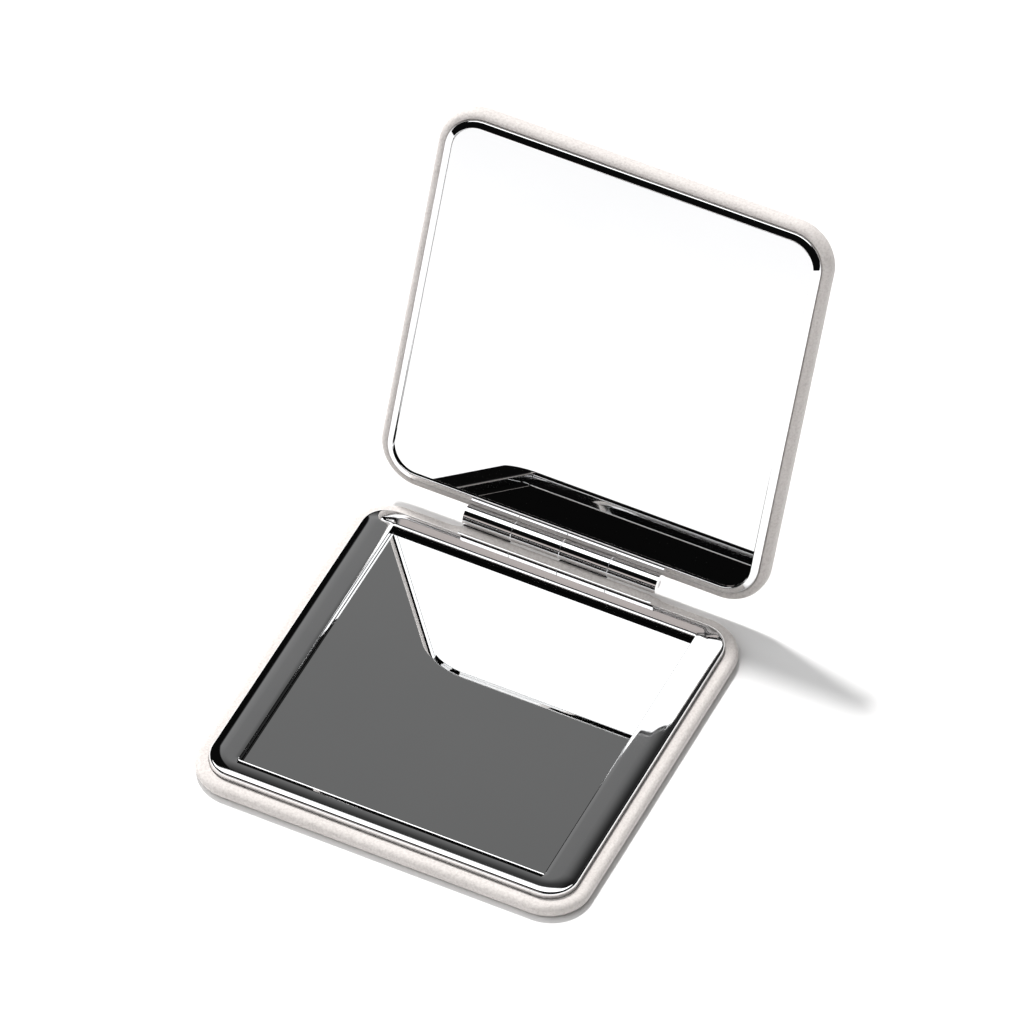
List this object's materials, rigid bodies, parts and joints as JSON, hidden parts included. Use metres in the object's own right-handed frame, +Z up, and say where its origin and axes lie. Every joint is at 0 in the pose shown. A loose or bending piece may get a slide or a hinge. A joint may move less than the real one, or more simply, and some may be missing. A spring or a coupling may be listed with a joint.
{
  "type": "compact mirror case",
  "caption": "Square pocket compact with padded leather covers, a bright frame and a mirror in each half, and a barrel hinge.",
  "frame": {"origin": "centre of the base's flat underside", "axes": "+X along the hinge, +Y from the front edge to the hinge, +Z up out of the base"},
  "size_m": [0.075, 0.1053, 0.0755],
  "materials": {
    "leather": "off-white soft fine-grain leather",
    "foam": "thin foam",
    "shell": "moulded",
    "frame": "mirror-bright plating",
    "mirror": "silvered glass",
    "tape": "adhesive sheet",
    "steel": "plain"
  },
  "bodies": {
    "base": {"base_cover": "leather", "base_padding": "foam", "base_shell": "shell", "base_frame": "frame", "base_mirror": "mirror", "base_mirror_tape": "tape", "base_magnet_left": "steel", "base_magnet_right": "steel", "base_hinge_leaf": "frame", "base_hinge_rivets": "steel", "hinge_pin": "steel"},
    "lid": {"lid_cover": "leather", "lid_padding": "foam", "lid_shell": "shell", "lid_frame": "frame", "lid_carrier": "shell", "lid_mirror": "mirror", "lid_mirror_tape": "tape", "lid_strike_left": "steel", "lid_strike_right": "steel", "lid_hinge_leaf": "frame", "lid_hinge_rivets": "steel"}
  },
  "joints": [
    {"name": "lid_hinge", "type": "hinge", "parent": "base", "child": "lid", "pos_m": [0, 0.03855, 0.0048], "axis": [1, 0, 0], "range_deg": [0, 110]}
  ]
}
